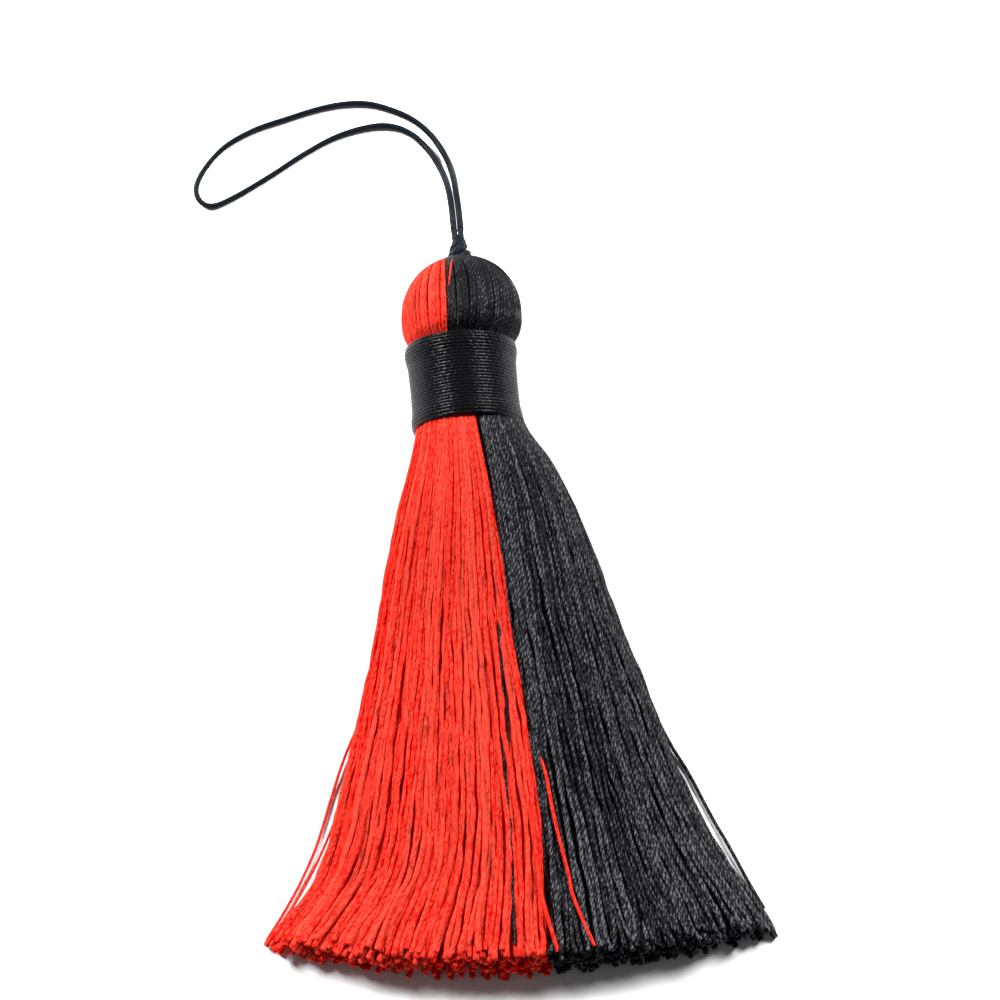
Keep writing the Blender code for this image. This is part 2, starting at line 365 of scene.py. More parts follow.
class TasselStage(bpy.types.PropertyGroup):
    """The camera's lens and place."""
    lens: bpy.props.FloatProperty(
        name="Lens", description="Focal length in millimetres", default=100.0)
    elevation: bpy.props.FloatProperty(
        name="Elevation", description="The camera's angle over the surface",
        default=math.radians(74.0), subtype="ANGLE")
    turn: bpy.props.FloatProperty(
        name="Turn", description="The camera's turn round the tassel",
        default=math.radians(-4.3), subtype="ANGLE")
    distance: bpy.props.FloatProperty(
        name="Distance", description="From the camera to the point that it looks at",
        default=0.3172, unit="LENGTH", precision=4)
    aim_across: bpy.props.FloatProperty(
        name="Aim across", description="The point looked at, along X",
        default=0.0020, unit="LENGTH", precision=5)
    aim_along: bpy.props.FloatProperty(
        name="Aim along", description="The point looked at, along Y",
        default=0.0103, unit="LENGTH", precision=5)


# Looks

def linear(web):
    """A web hex colour as linear red, green, blue and alpha."""
    channels = [int(web[place:place + 2], 16) / 255 for place in (1, 3, 5)]
    return tuple(
        c / 12.92 if c <= 0.04045 else ((c + 0.055) / 1.055) ** 2.4 for c in channels
    ) + (1.0,)


def add_node(tree, kind, values=None, **settings):
    """A node of that kind, its settings, and its sockets' values or the sockets that feed them."""
    node = tree.nodes.new(kind)
    for name, value in settings.items():
        setattr(node, name, value)
    for key, value in (values or {}).items():
        if isinstance(value, bpy.types.NodeSocket):
            tree.links.new(value, node.inputs[key])
        else:
            node.inputs[key].default_value = value
    return node


def math_node(tree, operation, first, second=0.0):
    """The result of one operation on two numbers or sockets."""
    return add_node(tree, "ShaderNodeMath", {0: first, 1: second}, operation=operation).outputs[0]


def thread_material(
        name, crest, groove, ply_length, roughness, gloss, glow, contrast, curve, depth, shade):
    """Plied thread: its plies wind round each other as a screw with as many starts.

    The UV map called thread gives the turn round the thread (U) and the length
    along it in millimetres (V), so a ply's crest is where cos 2 pi plies (U - V
    / ply length) is 1. The plies' own fibres lie along the thread, as they do
    in a balanced yarn, so their noise is drawn out along V, and it also shifts
    the crests. The lit level adds up the plies, the fibres, a slow unevenness
    and the thread's own tone, and drops on the sides that neighbours shade.
    It mixes the groove colour into the crest colour, so the ply grooves and the
    shaded sides get painted shade, and the crests of black thread get painted
    highlight, while the fibres, the unevenness and the tone vary the thread's
    own colour.

    contrast weighs the plies and shade the dark of the sides. curve is the
    power that keeps the lit colour to the crests, gloss the strength of the
    highlights, glow the share of light that enters the thread, and depth the
    relief in millimetres.
    """
    made = bpy.data.materials.new(name)
    made.use_nodes = True
    tree = made.node_tree
    shader = tree.nodes["Principled BSDF"]
    place = add_node(tree, "ShaderNodeUVMap", uv_map="thread")
    split = add_node(tree, "ShaderNodeSeparateXYZ", {0: place.outputs[0]})
    tone = add_node(tree, "ShaderNodeAttribute", attribute_name="tone").outputs["Fac"]
    open_side = add_node(tree, "ShaderNodeAttribute", attribute_name="open").outputs["Fac"]
    around = math_node(tree, "MULTIPLY", split.outputs[0], 2 * math.pi)
    drawn = add_node(tree, "ShaderNodeCombineXYZ", {
        0: math_node(tree, "MULTIPLY", math_node(tree, "COSINE", around), FIBRES_ACROSS),
        1: math_node(tree, "MULTIPLY", math_node(tree, "SINE", around), FIBRES_ACROSS),
        2: math_node(tree, "ADD", math_node(tree, "MULTIPLY", split.outputs[1], FIBRES_ALONG),
                     math_node(tree, "MULTIPLY", tone, TONE_OFFSET)),
    })
    fibres = add_node(tree, "ShaderNodeTexNoise", {
        "Vector": drawn.outputs[0], "Scale": 1.0, "Detail": 2.0, "Roughness": 0.6,
    }).outputs[0]
    turned = math_node(tree, "SUBTRACT", split.outputs[0],
                       math_node(tree, "DIVIDE", split.outputs[1], ply_length))
    phase = math_node(tree, "ADD", math_node(tree, "MULTIPLY", turned, 2 * math.pi * PLIES),
                      math_node(tree, "MULTIPLY", fibres, FIBRE_SHIFT))
    wave = math_node(tree, "COSINE", phase)
    ply = add_node(tree, "ShaderNodeMapRange", {0: wave, 1: -1.0, 2: 0.7}).outputs[0]
    slow = add_node(tree, "ShaderNodeTexNoise", {
        "Vector": add_node(tree, "ShaderNodeTexCoord").outputs["Object"],
        "Scale": UNEVEN_PER_METRE, "Detail": 2.0,
    }).outputs[0]
    # Plies and open sides make painted shade in the grooves and on the sides, and painted highlight
    # on black crests. Fibres, unevenness and tone are own colour.
    lit = math_node(tree, "MULTIPLY", ply, contrast)
    for part, weight in (
            (fibres, FIBRE_WEIGHT), (slow, UNEVEN_WEIGHT), (tone, TONE_WEIGHT), (open_side, shade)):
        lit = math_node(tree, "ADD", lit, math_node(tree, "MULTIPLY", part, weight))
    level = add_node(tree, "ShaderNodeMapRange", {
        0: lit, 1: DARKEST + shade, 2: contrast + LIGHTEST + shade}).outputs[0]
    level = math_node(tree, "POWER", level, curve)
    colour = add_node(tree, "ShaderNodeMix", {0: level, 6: linear(groove), 7: linear(crest)},
                      data_type="RGBA")
    tree.links.new(colour.outputs[2], shader.inputs["Base Color"])
    height = math_node(tree, "ADD", math_node(tree, "MULTIPLY", ply, 0.5), fibres)
    bump = add_node(tree, "ShaderNodeBump", {
        "Height": height, "Strength": 1.0, "Distance": depth * MM})
    tree.links.new(bump.outputs[0], shader.inputs["Normal"])
    rough = add_node(tree, "ShaderNodeMapRange", {
        0: level, 3: roughness + GROOVE_ROUGHER, 4: roughness})
    tree.links.new(rough.outputs[0], shader.inputs["Roughness"])
    shader.inputs["Specular IOR Level"].default_value = gloss
    shader.inputs["Subsurface Weight"].default_value = glow
    shader.inputs["Subsurface Radius"].default_value = (1.0, 0.3, 0.2)
    shader.inputs["Subsurface Scale"].default_value = GLOW_REACH
    return made


# Shapes

def noise_waves(count, where, size, waves, seed):
    """Smooth offsets, one row for each thread: the size times a sum of sines.

    Each sine has a random phase and a strength of 0.5 to 1, divided by its
    number of turns to the power 0.6.
    """
    chance = np.random.default_rng(seed)
    total = np.zeros((count,) + where.shape[-1:])
    for turns in waves:
        phase = chance.uniform(0, 2 * math.pi, (count, 1))
        strength = chance.uniform(0.5, 1.0, (count, 1)) / turns ** 0.6
        total = total + strength * np.sin(2 * math.pi * turns * where + phase)
    return size * total


def smooth_rows(table, where):
    """A table's columns after its first, read at these places from a cubic through its rows."""
    stations = table[:, 0]
    rows = table[:, 1:]
    slopes = np.gradient(rows, stations, axis=0)
    place = np.clip(np.searchsorted(stations, where) - 1, 0, len(stations) - 2)
    step = (stations[place + 1] - stations[place])[..., None]
    t = np.clip((where[..., None] - stations[place][..., None]) / step, 0, 1)
    start = (1 + 2 * t) * (1 - t) ** 2 * rows[place] + t * (1 - t) ** 2 * step * slopes[place]
    end = t * t * (3 - 2 * t) * rows[place + 1] - t * t * (1 - t) * step * slopes[place + 1]
    return np.moveaxis(start + end, -1, 0)


def smooth_route(route, count):
    """Evenly spaced points on the cubic through a route's points."""
    index = np.arange(len(route), dtype=float)
    table = np.column_stack((index, route))
    fine = smooth_rows(table, np.linspace(0, len(route) - 1, len(route) * 24)).T
    length = np.concatenate(([0.0], np.cumsum(np.linalg.norm(np.diff(fine, axis=0), axis=1))))
    even = np.linspace(0, length[-1], count)
    return np.column_stack([np.interp(even, length, fine[:, axis]) for axis in range(3)])


def unit(vectors):
    """The same directions at length one."""
    return vectors / np.maximum(np.linalg.norm(vectors, axis=-1, keepdims=True), 1e-9)


def tube_mesh(name, points):
    """Closed tubes through rings of points, given as threads by rings by points by 3."""
    count, rings, sides = points.shape[:3]
    thread, ring, edge = np.meshgrid(
        np.arange(count), np.arange(rings - 1), np.arange(sides), indexing="ij")
    start = (thread * rings + ring) * sides
    after = (edge + 1) % sides
    walls = np.stack((start + edge, start + after, start + sides + after, start + sides + edge), -1)
    walls = walls.reshape(-1, 4)
    first = (np.arange(count) * rings * sides)[:, None] + np.arange(sides)[::-1]
    last = ((np.arange(count) * rings + rings - 1) * sides)[:, None] + np.arange(sides)
    corners = np.concatenate((walls.ravel(), first.ravel(), last.ravel()))
    starts = np.concatenate((
        np.arange(len(walls)) * 4,
        len(walls) * 4 + np.arange(2 * count) * sides,
    ))
    mesh = bpy.data.meshes.new(name)
    mesh.vertices.add(points.size // 3)
    mesh.vertices.foreach_set("co", (points * MM).astype(np.float32).ravel())
    mesh.loops.add(len(corners))
    mesh.loops.foreach_set("vertex_index", corners.astype(np.int32))
    mesh.polygons.add(len(starts))
    mesh.polygons.foreach_set("loop_start", starts.astype(np.int32))
    mesh.update(calc_edges=True)
    mesh.shade_smooth()
    return mesh


def write_maps(mesh, length, sides, folds):
    """The map called thread, and the bake map, where each thread has rows of its own.

    The first gives the turn round a thread and the length along it. In the
    second a thread runs across as many rows as folds says, with a gap between
    them, and its two ends are small discs at the left and the right edge.
    """
    count, rings = length.shape
    thread, ring, edge = np.meshgrid(
        np.arange(count), np.arange(rings - 1), np.arange(sides), indexing="ij")
    turn = np.stack((edge, edge + 1, edge + 1, edge), -1) / sides
    here = length[thread, ring]
    ahead = length[thread, ring + 1]
    reached = np.stack((here, here, ahead, ahead), -1)
    ends = np.zeros((2 * count * sides, 2)) + (0.5, 0.0)
    write_uv(mesh, "thread", np.concatenate((np.stack((turn, reached), -1).reshape(-1, 2), ends)))

    row = math.ceil((rings - 1) / folds)
    step = ring % row
    across = np.stack((step, step, step + 1, step + 1), -1) / row
    line = (thread * folds + ring // row)[..., None]
    up = (line + 0.06 + 0.88 * turn) / (count * folds)
    parts = [np.stack((0.012 + 0.976 * across, up), -1).reshape(-1, 2)]
    angle = 2 * math.pi * np.arange(sides) / sides
    for middle, order in ((0.005, angle[::-1]), (0.995, angle)):
        disc = np.empty((count, sides, 2))
        disc[..., 0] = middle + 0.004 * np.cos(order)
        disc[..., 1] = (np.arange(count)[:, None] + 0.5 + 0.4 * np.sin(order)) / count
        parts.append(disc.reshape(-1, 2))
    write_uv(mesh, "OFBake", np.concatenate(parts))


def thread_object(
        name, paths, radii, side, sides, ply_length, relief, seed, folds=1, tones=(0, 1),
        outward=(0.0, 0.0, 1.0)):
    """Threads along paths, as one mesh of closed tubes.

    A ring's points stand at radius r (1 + relief cos plies (a - twist)) / (1 +
    relief) at angle a, where twist makes one turn in each ply length, so that
    the plies wind along the thread. paths is threads by rings by 3, radii
    threads by rings, and side the direction that angle 0 faces. folds is the
    number of rows that a thread has in the bake map, and tones the darkest and
    the lightest tone that a thread can have. A point's value called open says
    how squarely it faces outward, where no neighbour shades it.
    """
    count, rings = radii.shape
    chance = np.random.default_rng(seed)
    along = unit(np.gradient(paths, axis=1))
    across = unit(side - np.sum(side * along, axis=-1, keepdims=True) * along)
    out = np.cross(along, across)
    steps = np.linalg.norm(np.diff(paths, axis=1), axis=-1)
    length = np.concatenate((np.zeros((count, 1)), np.cumsum(steps, axis=1)), axis=1)
    length = length + chance.uniform(0, ply_length, (count, 1))
    angle = 2 * math.pi * np.arange(sides) / sides
    twist = 2 * math.pi * length / ply_length
    swell = 1 + relief * np.cos(PLIES * (angle[None, None] - twist[..., None]))
    reach = (radii[..., None] * swell / (1 + relief))[..., None]
    points = paths[:, :, None] + reach * (
        np.cos(angle)[:, None] * across[:, :, None] + np.sin(angle)[:, None] * out[:, :, None])

    mesh = tube_mesh(name, points)
    write_maps(mesh, length, sides, folds)
    write_points(mesh, "tone", np.repeat(chance.uniform(*tones, count), rings * sides))
    # The value open drives painted shade: the material darkens a thread's sides that face away from
    # outward, where neighbours would shade them.
    facing = np.sum(unit(points - paths[:, :, None]) * np.asarray(outward)[..., None, :], axis=-1)
    write_points(mesh, "open", np.clip(OPEN_SHARE * facing, 0, 1))
    made = bpy.data.objects.new(name, mesh)
    bpy.context.scene.collection.objects.link(made)
    return made


def write_uv(mesh, name, values):
    """A UV map of that name."""
    layer = mesh.uv_layers.new(name=name)
    layer.data.foreach_set("uv", values.astype(np.float32).ravel())


def write_points(mesh, name, values):
    """One value of that name for each point."""
    layer = mesh.attributes.new(name, "FLOAT", "POINT")
    layer.data.foreach_set("value", values.astype(np.float32).ravel())


def dress(piece, node, look):
    """A finished piece: its material, the CAD node that it stands for, its body."""
    piece.data.materials.append(look)
    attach(piece, "root")
    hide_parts(node)
    return piece


def thread_look(context, kind):
    """The material of a kind of thread, made when it is first asked for."""
    recipe = THREAD_LOOKS[kind]
    if recipe["name"] in bpy.data.materials:
        return bpy.data.materials[recipe["name"]]
    looks = context.scene.tassel_looks
    groove = {"red": looks.red_deep, "cord": looks.cord_deep}.get(kind, looks.black_deep)
    ply_length = context.scene.tassel_threads.ply_length
    if kind == "cord":
        ply_length = context.scene.tassel_binding.cord_ply_length
    return thread_material(
        crest=getattr(looks, kind), groove=groove, ply_length=ply_length / MM, **recipe)


# Pieces

def section_at(below):
    """The skirt's section at each distance below the band, one array for each column."""
    return smooth_rows(SKIRT_SECTIONS, below)


def clumps(places, chance, count):
    """Each thread's clump, in runs of two to five neighbours, and the middle of that clump."""
    order = np.argsort(places)
    sizes = chance.integers(2, 6, count)
    owner = np.empty(count, int)
    owner[order] = np.repeat(np.arange(count), sizes)[:count]
    total = np.bincount(owner, minlength=count)
    middle = np.bincount(owner, places, minlength=count) / np.maximum(total, 1)
    return owner, middle[owner]


def ring_places(rings):
    """Shares of a thread's length: even steps, then close ones that round its cut end."""
    return np.concatenate((np.linspace(0, 0.994, rings - 3), (0.9963, 0.9985, 1.0)))


def skirt_paths(side, count, rings, waviness, radius, seed):
    """Paths of one colour's skirt threads, with each thread's share up and out.

    Thread by thread the share s across the half cuts equal slices, each 2 (s
    sqrt(1 - s s) + arcsin s) / pi, from a half disc, and the share up it steps
    by the golden ratio. Both are laid into the half section at each distance
    below the band: a half disc at the neck and a low mound at the end.
    Neighbours draw together in clumps towards their ends, and the outermost
    threads keep to the edge. The cut ends splay.
    """
    steps = np.linspace(0, 1, 500)
    area = 2 * (steps * np.sqrt(1 - steps ** 2) + np.arcsin(steps)) / math.pi
    index = np.arange(count)
    reach = np.interp((index + 0.5) / count, area, steps)
    reach = reach / reach[-1]
    fullness = np.sqrt(1 - (0.985 * reach) ** 2)
    layer = (0.25 + index * GOLDEN) % 1.0
    chance = np.random.default_rng(seed)
    rise = LEFT_CORNER_RISE if side < 0 else RIGHT_CORNER_RISE
    cut = rise * reach ** 2 + CUT_UNEVEN * chance.uniform(0, 1, count)
    cut = cut + CUT_SLANT * layer * fullness
    share = ring_places(rings)
    top = SKIRT_SECTIONS[0, 0]
    below = top + (SKIRT_LENGTH - top - cut)[:, None] * share[None]
    left, right, parting, tilt, widest, lowest, crown = section_at(below)
    lean = np.radians(tilt)
    edge = (right - parting) if side > 0 else (left + parting)

    # Each thread's place in the section, drawn towards its clump
    drawn = np.clip(below / CLUMPED_BELOW, 0, 1)
    owner, middle = clumps(reach, chance, count)
    inward = CLUMP_DRAW * (middle - reach) * np.clip((0.97 - reach) / 0.12, 0, 1)
    out = reach[:, None] + inward[:, None] * drawn ** 1.5
    out = PARTING_GAP + (edge - radius - PARTING_GAP) * out
    lowered = lowest + radius - widest
    lifted = crown - radius - widest
    raised = 1 - (1 - layer) ** CROWDING
    up = fullness[:, None] * (lowered + (lifted - lowered) * raised[:, None])
    up = up + (CLUMP_RISE * chance.normal(0, 1, count)[owner])[:, None] * drawn * fullness[:, None]
    across = parting + side * out * np.cos(lean) + up * np.sin(lean)
    height = widest - side * out * np.sin(lean) + up * np.cos(lean)

    # Slow waves bend the threads, and short ones keep them from looking combed
    sway = np.clip(below / SWAYING_BELOW, 0.12, 1)
    calm = np.interp(reach, (0.85, 0.95), (1.0, 0.35))[:, None]
    place = share[None]
    slow = noise_waves(count, place, waviness, (0.7, 1.9, 4.3, 9.1), seed + 1)
    across = across + sway * calm * slow
    height = height + sway * noise_waves(count, place, waviness * 0.7, (0.9, 2.4, 5.2), seed + 2)
    across = across + sway * noise_waves(count, place, 0.2, (9.0, 15.0, 23.0), seed + 3)
    height = height + sway * noise_waves(count, place, 0.2, (11.0, 17.0, 25.0), seed + 4)

    end = np.clip((share - SPLAY_START) / (1 - SPLAY_START), 0, 1)[None] ** 2
    across = across + end * chance.normal(0, 0.38, (count, 1))
    height = height + end * chance.normal(0.1, 0.25, (count, 1))
    height = np.maximum(height, radius * 1.5)
    return np.stack((AXIS_ACROSS + across, BAND_FOOT - below, height), -1), layer, reach


def skirt_radii(count, rings, radius, seed):
    """Radii along each thread: r (0.86 + 0.3 s) at share s of its length, uneven all along.

    The cut end is a tenth wider where it frays, and its last rings round it.
    """
    share = ring_places(rings)
    swell = 0.86 + 0.3 * share + 0.1 * np.clip((share - 0.97) / 0.025, 0, 1)
    swell[-3:] = swell[-3:] * (1.0, 0.95, 0.75)
    return radius * swell * (1 + noise_waves(count, share[None], 0.14, (13.0, 27.0, 33.0), seed))


def build_skirt(context):
    """The skirt: threads of many rings where they show, plainer ones below them."""
    threads = context.scene.tassel_threads
    ply = threads.ply_length / MM
    for side, colour, seed in ((-1, "red", 11), (1, "black", 23)):
        look = thread_look(context, colour)
        radius = getattr(threads, colour + "_diameter") / MM / 2
        count = getattr(threads, colour + "_count")
        for part, rings, sides in (("inner", 130, 6), ("outer", 130, 6), ("under", 42, 5)):
            paths, layer, reach = skirt_paths(
                side, count, rings, threads.waviness / MM, radius, seed)
            shows = (layer > 0.5) | (reach > 0.97)
            near = reach < 0.4
            chosen = {"inner": shows & near, "outer": shows & ~near, "under": ~shows}[part]
            piece = thread_object(
                f"{colour}_skirt_{part}_threads", paths[chosen],
                skirt_radii(count, rings, radius, seed + 6)[chosen],
                np.array((1.0, 0.0, 0.0)), sides, ply, 0.0, seed + 5)
            dress(piece, f"{colour}_thread_bundle", look)


def build_strays(context):
    """Threads that cross to the other colour or spring clear of the skirt's edges.

    Each follows the skirt's upper surface, with its own lift. At x from the
    parting that surface is h + (c - h) sqrt(1 - (x / w) squared) high, where h
    and w are the height and the reach of the widest layer, and c the crown's
    height.
    """
    threads = context.scene.tassel_threads
    ply = threads.ply_length / MM
    for name, colour, thick, lift, route in STRAYS:
        look = thread_look(context, colour)
        points = smooth_route(np.column_stack((route, np.zeros(len(route)))), STRAY_RINGS)
        below = points[:, 0]
        left, right, parting, _, widest, _, crown = section_at(below)
        across = points[:, 1]
        edge = np.where(across > parting, right - parting, left + parting)
        dome = np.sqrt(np.clip(1 - ((across - parting) / edge) ** 2, 0, 1))
        height = widest + (crown - widest) * dome + lift
        share = np.linspace(0, 1, STRAY_RINGS)
        dive = np.clip(1 - share / STRAY_RISE, 0, 1) ** 1.5
        height = np.maximum(height - STRAY_DEPTH * dive, thick)
        height = height + noise_waves(1, share[None], 0.12, (3.0, 5.0, 9.0), 93)[0]
        path = np.stack((AXIS_ACROSS + across, BAND_FOOT - below, height), -1)[None]
        piece = thread_object(
            name, path, thick * np.interp(share, (0, 0.25), (0.5, 1))[None],
            np.array((1.0, 0.0, 0.0)), 8, ply, 0.0, 91, tones=(0, 0.3))
        dress(piece, f"{colour}_thread_bundle", look)


def head_profile(rings, inset):
    """Distances below the head's top and radii, in even steps along its outline, inset from it."""
    below = np.linspace(HEAD_PROFILE[0, 0], HEAD_PROFILE[-1, 0], rings * 4)
    radius = smooth_rows(HEAD_PROFILE, below)[0]
    length = np.concatenate(([0.0], np.cumsum(np.hypot(np.diff(below), np.diff(radius)))))
    even = np.linspace(0, length[-1], rings)
    below = np.interp(even, length, below)
    radius = np.interp(even, length, radius)
    slope = unit(np.column_stack((np.gradient(radius), np.gradient(below))))
    return below + inset * slope[:, 0], radius - inset * slope[:, 1]


def head_points(below, radius, turned):
    """Points of the head at those angles from its top line, one row for each thread.

    A point at radius r and angle a is r sin a across and r cos a up from an
    axis that leans to the right towards the knot, and stays over the surface.
    """
    lean = HEAD_LEAN * (HEAD_PROFILE[-1, 0] - below)
    return np.stack((
        AXIS_ACROSS + lean + radius * np.sin(turned),
        np.broadcast_to(HEAD_TOP - below, turned.shape),
        np.maximum(AXIS_HEIGHT + radius * np.cos(turned), 0.35),
    ), -1)


def build_head(context):
    """The threads that fold over the cord, from under the knot to under the band.

    Each colour's threads share the angle between the parting on the front,
    which keeps its distance from the axis, and the one at the back. A few
    thick inner threads lie behind them, so that no gap shows light.
    """
    threads = context.scene.tassel_threads
    ply = threads.ply_length / MM
    for colour, seed, tones in HEAD_COLOURS:
        look = thread_look(context, colour)
        thick = getattr(threads, colour + "_diameter") / MM / 2
        whole = int(math.pi * HEAD_PROFILE[:, 1].max() / (HEAD_SPACING * thick))
        for part, count, rings, inset, spread in (
                ("outer", whole, 80, thick, 0.74), ("inner", 12, 40, 1.3, 0.62)):
            chance = np.random.default_rng(seed)
            below, radius = head_profile(rings, inset)
            front = -np.arcsin(np.clip(HEAD_PARTING / radius, 0, 0.87))
            back = np.full(rings, math.radians(HEAD_BACK_PARTING))
            start, stop = (front, back) if colour == "black" else (back, front + 2 * math.pi)
            place = (np.arange(count) + 0.5 + chance.normal(0, 0.08, count))[:, None] / count
            share = np.linspace(0, 1, rings)
            swirl = chance.normal(0, 0.025, (count, 1)) * np.sin(math.pi * share)
            turned = start + (stop - start) * place + swirl
            widest = thick * 1.15 if part == "outer" else 0.95
            radii = np.clip((stop - start) * radius / count * spread, 0.1, widest)
            radii = radii * (1 + noise_waves(count, share[None], 0.06, (3.0, 7.0), seed + 1))
            piece = thread_object(
                f"{colour}_head_{part}_threads", head_points(below, radius, turned), radii,
                np.array((0.0, 1.0, 0.3)), 6, ply, 0.0, seed + 2, tones=tones,
                outward=np.stack((np.sin(turned), 0 * turned, np.cos(turned)), -1))
            dress(piece, f"{colour}_thread_bundle", look)


def build_head_stray(context):
    """The single red thread that lies on the black half beside the parting."""
    ply = context.scene.tassel_threads.ply_length / MM
    below, radius = head_profile(90, -0.02)
    chosen = slice(27, 54)
    below = below[chosen]
    radius = radius[chosen]
    away = np.linspace(0.8, 1.3, len(below))
    turned = -np.arcsin(np.clip(away / radius, 0, 0.9))[None]
    share = np.linspace(0, 1, len(below))
    thick = np.interp(share, (0, 0.2, 0.8, 1), (0.04, 0.09, 0.09, 0.04))[None]
    piece = thread_object(
        "red_head_stray", head_points(below, radius, turned), thick, np.array((0.0, 1.0, 0.3)),
        8, ply, 0.0, 47)
    dress(piece, "red_thread_bundle", thread_look(context, "red"))


def build_binding(context):
    """The neck binding: one plied thread wound in close turns, a little uneven.

    The path is a screw. At share s its angle is 2 pi turns s, it has moved the
    band's width less one pitch times s along the axis, and its radius is the
    band's less the thread's. The thread is thicker than half a pitch, so that
    neighbouring turns press into each other.
    """
    threads = context.scene.tassel_threads
    binding = context.scene.tassel_binding
    ply = threads.ply_length / MM
    pitch = (BAND_TOP - BAND_FOOT) / (binding.turns + 0.6)
    thick = pitch * BINDING_FILL
    rings = binding.turns * RINGS_PER_TURN + 1
    share = np.linspace(0, 1, rings)
    below = pitch * 0.5 + (BAND_TOP - BAND_FOOT - pitch) * share
    below = below + noise_waves(1, share[None], 0.06, (61.0, 97.0, 143.0), 57)[0]
    radius = smooth_rows(BAND_PROFILE, below)[0] - thick
    radius = radius + noise_waves(1, share[None], 0.04, (37.0, 113.0, 171.0), 58)[0]
    angle = math.pi + 2 * math.pi * binding.turns * share
    path = np.stack((
        AXIS_ACROSS - 0.3 + 0.2 * share + radius * np.sin(angle),
        BAND_TOP - below,
        AXIS_HEIGHT + radius * np.cos(angle),
    ), -1)[None]
    piece = thread_object(
        "neck_binding_thread", path, np.full((1, rings), thick), np.array((0.0, 1.0, 0.0)),
        8, ply, 0.0, 53, folds=binding.turns)
    dress(piece, "neck_binding", thread_look(context, "binding"))


def build_knot(context):
    """The knot: the cord wound in a cone that widens to the head, over a tapered core.

    At share s of the winding its radius is 0.42 + 1.15 (1 - s) to the power 1.2
    millimetres, and it climbs 3.3 millimetres and sways 0.45 either way in each
    turn. One strand crosses the turns in an arc, and the loop's two legs leave
    the top.
    """
    ply = context.scene.tassel_binding.cord_ply_length / MM
    share = np.linspace(0, 1, KNOT_RINGS)
    radius = 0.42 + 1.15 * (1 - share) ** 1.2
    angle = 2 * math.pi * KNOT_TURNS * share + 0.6
    middle = AXIS_ACROSS + KNOT_LEAN
    ahead = HEAD_TOP - 1.75 + 3.3 * share + 0.45 * np.sin(angle)
    wound = np.stack((
        middle + radius * np.sin(angle), ahead, AXIS_HEIGHT + radius * np.cos(angle)), -1)
    sweep = 2.4 * share - 1.2
    cross = np.stack((
        middle + 1.35 * np.sin(sweep) * (1 - 0.5 * share),
        HEAD_TOP - 1.35 + 2.6 * share,
        AXIS_HEIGHT + (1.5 - 0.6 * share) * np.cos(sweep),
    ), -1)
    legs = [
        np.column_stack((
            AXIS_ACROSS + route_end[0] + drawn * (1 - share),
            KNOT_TOP + 0.5 - 2.2 * (1 - share),
            np.full(KNOT_RINGS, route_end[2]),
        ))
        for route_end, drawn in ((CORD_ROUTE[-1], 0.1), (CORD_ROUTE[0], -0.1))
    ]
    radii = np.full((4, KNOT_RINGS), KNOT_STRAND)
    radii[2:] = CORD_DIAMETER / 2
    piece = thread_object(
        "hanging_knot_cord", np.stack((wound, cross, *legs)), radii, np.array((0.0, 1.0, 0.2)),
        10, ply, 0.08, 61)
    dress(piece, "hanging_knot", thread_look(context, "cord"))
    ahead = np.linspace(HEAD_TOP - 1.2, KNOT_TOP - 0.9, 16)
    core = np.stack((np.full(16, middle), ahead, np.full(16, AXIS_HEIGHT)), -1)[None]
    piece = thread_object(
        "hanging_knot_core", core, np.linspace(1.4, 0.5, 16)[None], np.array((1.0, 0.0, 0.0)),
        16, ply, 0.0, 62)
    dress(piece, "hanging_knot", thread_look(context, "cord"))


def build_loop(context):
    """The hanging loop: one waxed cord along the cubic through its route's points.

    Both ends are in the knot, and its radius narrows towards the far bend.
    """
    ply = context.scene.tassel_binding.cord_ply_length / MM
    route = CORD_ROUTE + (AXIS_ACROSS, KNOT_TOP, 0.0)
    path = smooth_route(route, CORD_RINGS)
    share = np.linspace(0, 1, CORD_RINGS)
    worn = np.interp(share, (0.1, 0.3, 0.7, 0.9), (1, FAR_BEND, FAR_BEND, 1))
    radii = CORD_DIAMETER / 2 * worn[None]
    piece = thread_object(
        "hanging_loop_cord", path[None], radii, np.array((0.3, 0.2, 1.0)), 12, ply, 0.0, 71,
        folds=8)
    dress(piece, "hanging_loop", thread_look(context, "cord"))


# Stage

def area_lamp(name, place, power):
    """A square soft lamp that faces the tassel."""
    lamp = bpy.data.lights.new(name, "AREA")
    lamp.shape = "SQUARE"
    lamp.size = LAMP_SIZE
    lamp.energy = power
    made = bpy.data.objects.new(name, lamp)
    made.location = place
    made.rotation_euler = (Vector(LAMP_AIM) - Vector(place)).to_track_quat("-Z", "Y").to_euler()
    bpy.context.scene.collection.objects.link(made)


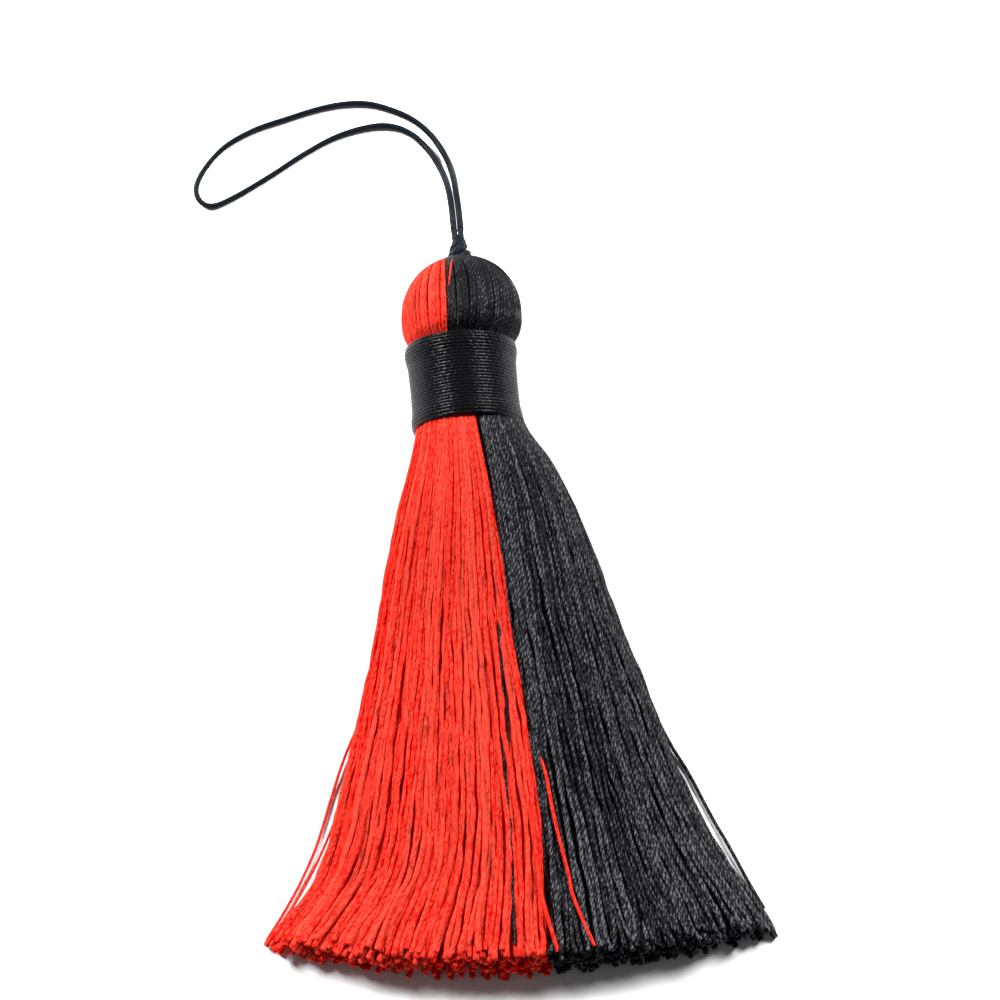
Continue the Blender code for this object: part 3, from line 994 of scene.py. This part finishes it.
def build_stage(context):
    """The pale floor, the soft lamps and the camera."""
    stage = context.scene.tassel_stage
    bpy.ops.mesh.primitive_plane_add(size=FLOOR_WIDTH)
    floor = context.object
    floor.name = "floor"
    # Uncoated paper, so it scatters light evenly and shows no highlight
    paper = bpy.data.materials.new("matt white paper")
    paper.use_nodes = True
    shader = paper.node_tree.nodes["Principled BSDF"]
    shader.inputs["Base Color"].default_value = linear("#F4F4F5")
    shader.inputs["Roughness"].default_value = 0.9
    floor.data.materials.append(paper)

    world = bpy.data.worlds.new("studio")
    world.use_nodes = True
    light = world.node_tree.nodes["Background"]
    light.inputs["Color"].default_value = (1.0, 1.0, 1.0, 1.0)
    light.inputs["Strength"].default_value = ROOM_LIGHT
    context.scene.world = world
    context.scene.view_settings.view_transform = "Standard"
    for name, place, power in LAMPS:
        area_lamp(name, place, power)

    camera = bpy.data.cameras.new("camera")
    camera.lens = stage.lens
    camera.sensor_width = FILM_WIDTH
    camera.clip_start = 0.01
    made = bpy.data.objects.new("camera", camera)
    back = Vector((
        math.sin(stage.turn) * math.cos(stage.elevation),
        -math.cos(stage.turn) * math.cos(stage.elevation),
        math.sin(stage.elevation)))
    made.location = Vector((stage.aim_across, stage.aim_along, AIM_HEIGHT)) + back * stage.distance
    made.rotation_euler = back.to_track_quat("Z", "Y").to_euler()
    context.scene.collection.objects.link(made)
    context.scene.camera = made


# Operators and panel

class TASSEL_OT_stage(bpy.types.Operator):
    """Add the floor, the lamps and the camera"""
    bl_idname = "tassel.stage"
    bl_label = "Build stage"

    def execute(self, context):
        build_stage(context)
        return {"FINISHED"}


class TASSEL_OT_loop(bpy.types.Operator):
    """Lay the hanging loop"""
    bl_idname = "tassel.loop"
    bl_label = "Build loop"

    def execute(self, context):
        build_loop(context)
        return {"FINISHED"}


class TASSEL_OT_knot(bpy.types.Operator):
    """Tie the knot on the head"""
    bl_idname = "tassel.knot"
    bl_label = "Build knot"

    def execute(self, context):
        build_knot(context)
        return {"FINISHED"}


class TASSEL_OT_head(bpy.types.Operator):
    """Lay the head's threads"""
    bl_idname = "tassel.head"
    bl_label = "Build head"

    def execute(self, context):
        build_head(context)
        build_head_stray(context)
        return {"FINISHED"}


class TASSEL_OT_binding(bpy.types.Operator):
    """Wind the neck binding"""
    bl_idname = "tassel.binding"
    bl_label = "Build binding"

    def execute(self, context):
        build_binding(context)
        return {"FINISHED"}


class TASSEL_OT_skirt(bpy.types.Operator):
    """Spread the skirt's threads"""
    bl_idname = "tassel.skirt"
    bl_label = "Build skirt"

    def execute(self, context):
        build_skirt(context)
        return {"FINISHED"}


class TASSEL_OT_strays(bpy.types.Operator):
    """Lay the stray threads"""
    bl_idname = "tassel.strays"
    bl_label = "Build strays"

    def execute(self, context):
        build_strays(context)
        return {"FINISHED"}


class TASSEL_PT_panel(bpy.types.Panel):
    """The tassel's settings and steps"""
    bl_idname = "TASSEL_PT_panel"
    bl_label = "Tassel"
    bl_space_type = "VIEW_3D"
    bl_region_type = "UI"
    bl_category = "Tassel"

    def draw(self, context):
        for group in ("tassel_threads", "tassel_binding", "tassel_looks", "tassel_stage"):
            settings = getattr(context.scene, group)
            box = self.layout.box()
            for name in settings.__annotations__:
                box.prop(settings, name)
        for step in STEPS:
            self.layout.operator(step.bl_idname)


GROUPS = {
    "tassel_threads": TasselThreads,
    "tassel_binding": TasselBinding,
    "tassel_looks": TasselLooks,
    "tassel_stage": TasselStage,
}
STEPS = (
    TASSEL_OT_stage, TASSEL_OT_loop, TASSEL_OT_knot, TASSEL_OT_head, TASSEL_OT_binding,
    TASSEL_OT_skirt, TASSEL_OT_strays,
)


def register():
    """Make the settings, the steps and the panel known."""
    for kind in (*GROUPS.values(), *STEPS, TASSEL_PT_panel):
        bpy.utils.register_class(kind)
    for name, group in GROUPS.items():
        setattr(bpy.types.Scene, name, bpy.props.PointerProperty(type=group))


def unregister():
    """Take the settings, the steps and the panel away again."""
    for name in GROUPS:
        delattr(bpy.types.Scene, name)
    for kind in reversed((*GROUPS.values(), *STEPS, TASSEL_PT_panel)):
        bpy.utils.unregister_class(kind)


def main():
    """Build every piece in order."""
    register()
    bpy.ops.tassel.stage()
    bpy.ops.tassel.loop()
    bpy.ops.tassel.knot()
    bpy.ops.tassel.head()
    bpy.ops.tassel.binding()
    bpy.ops.tassel.skirt()
    bpy.ops.tassel.strays()


if __name__ == "__main__":
    main()
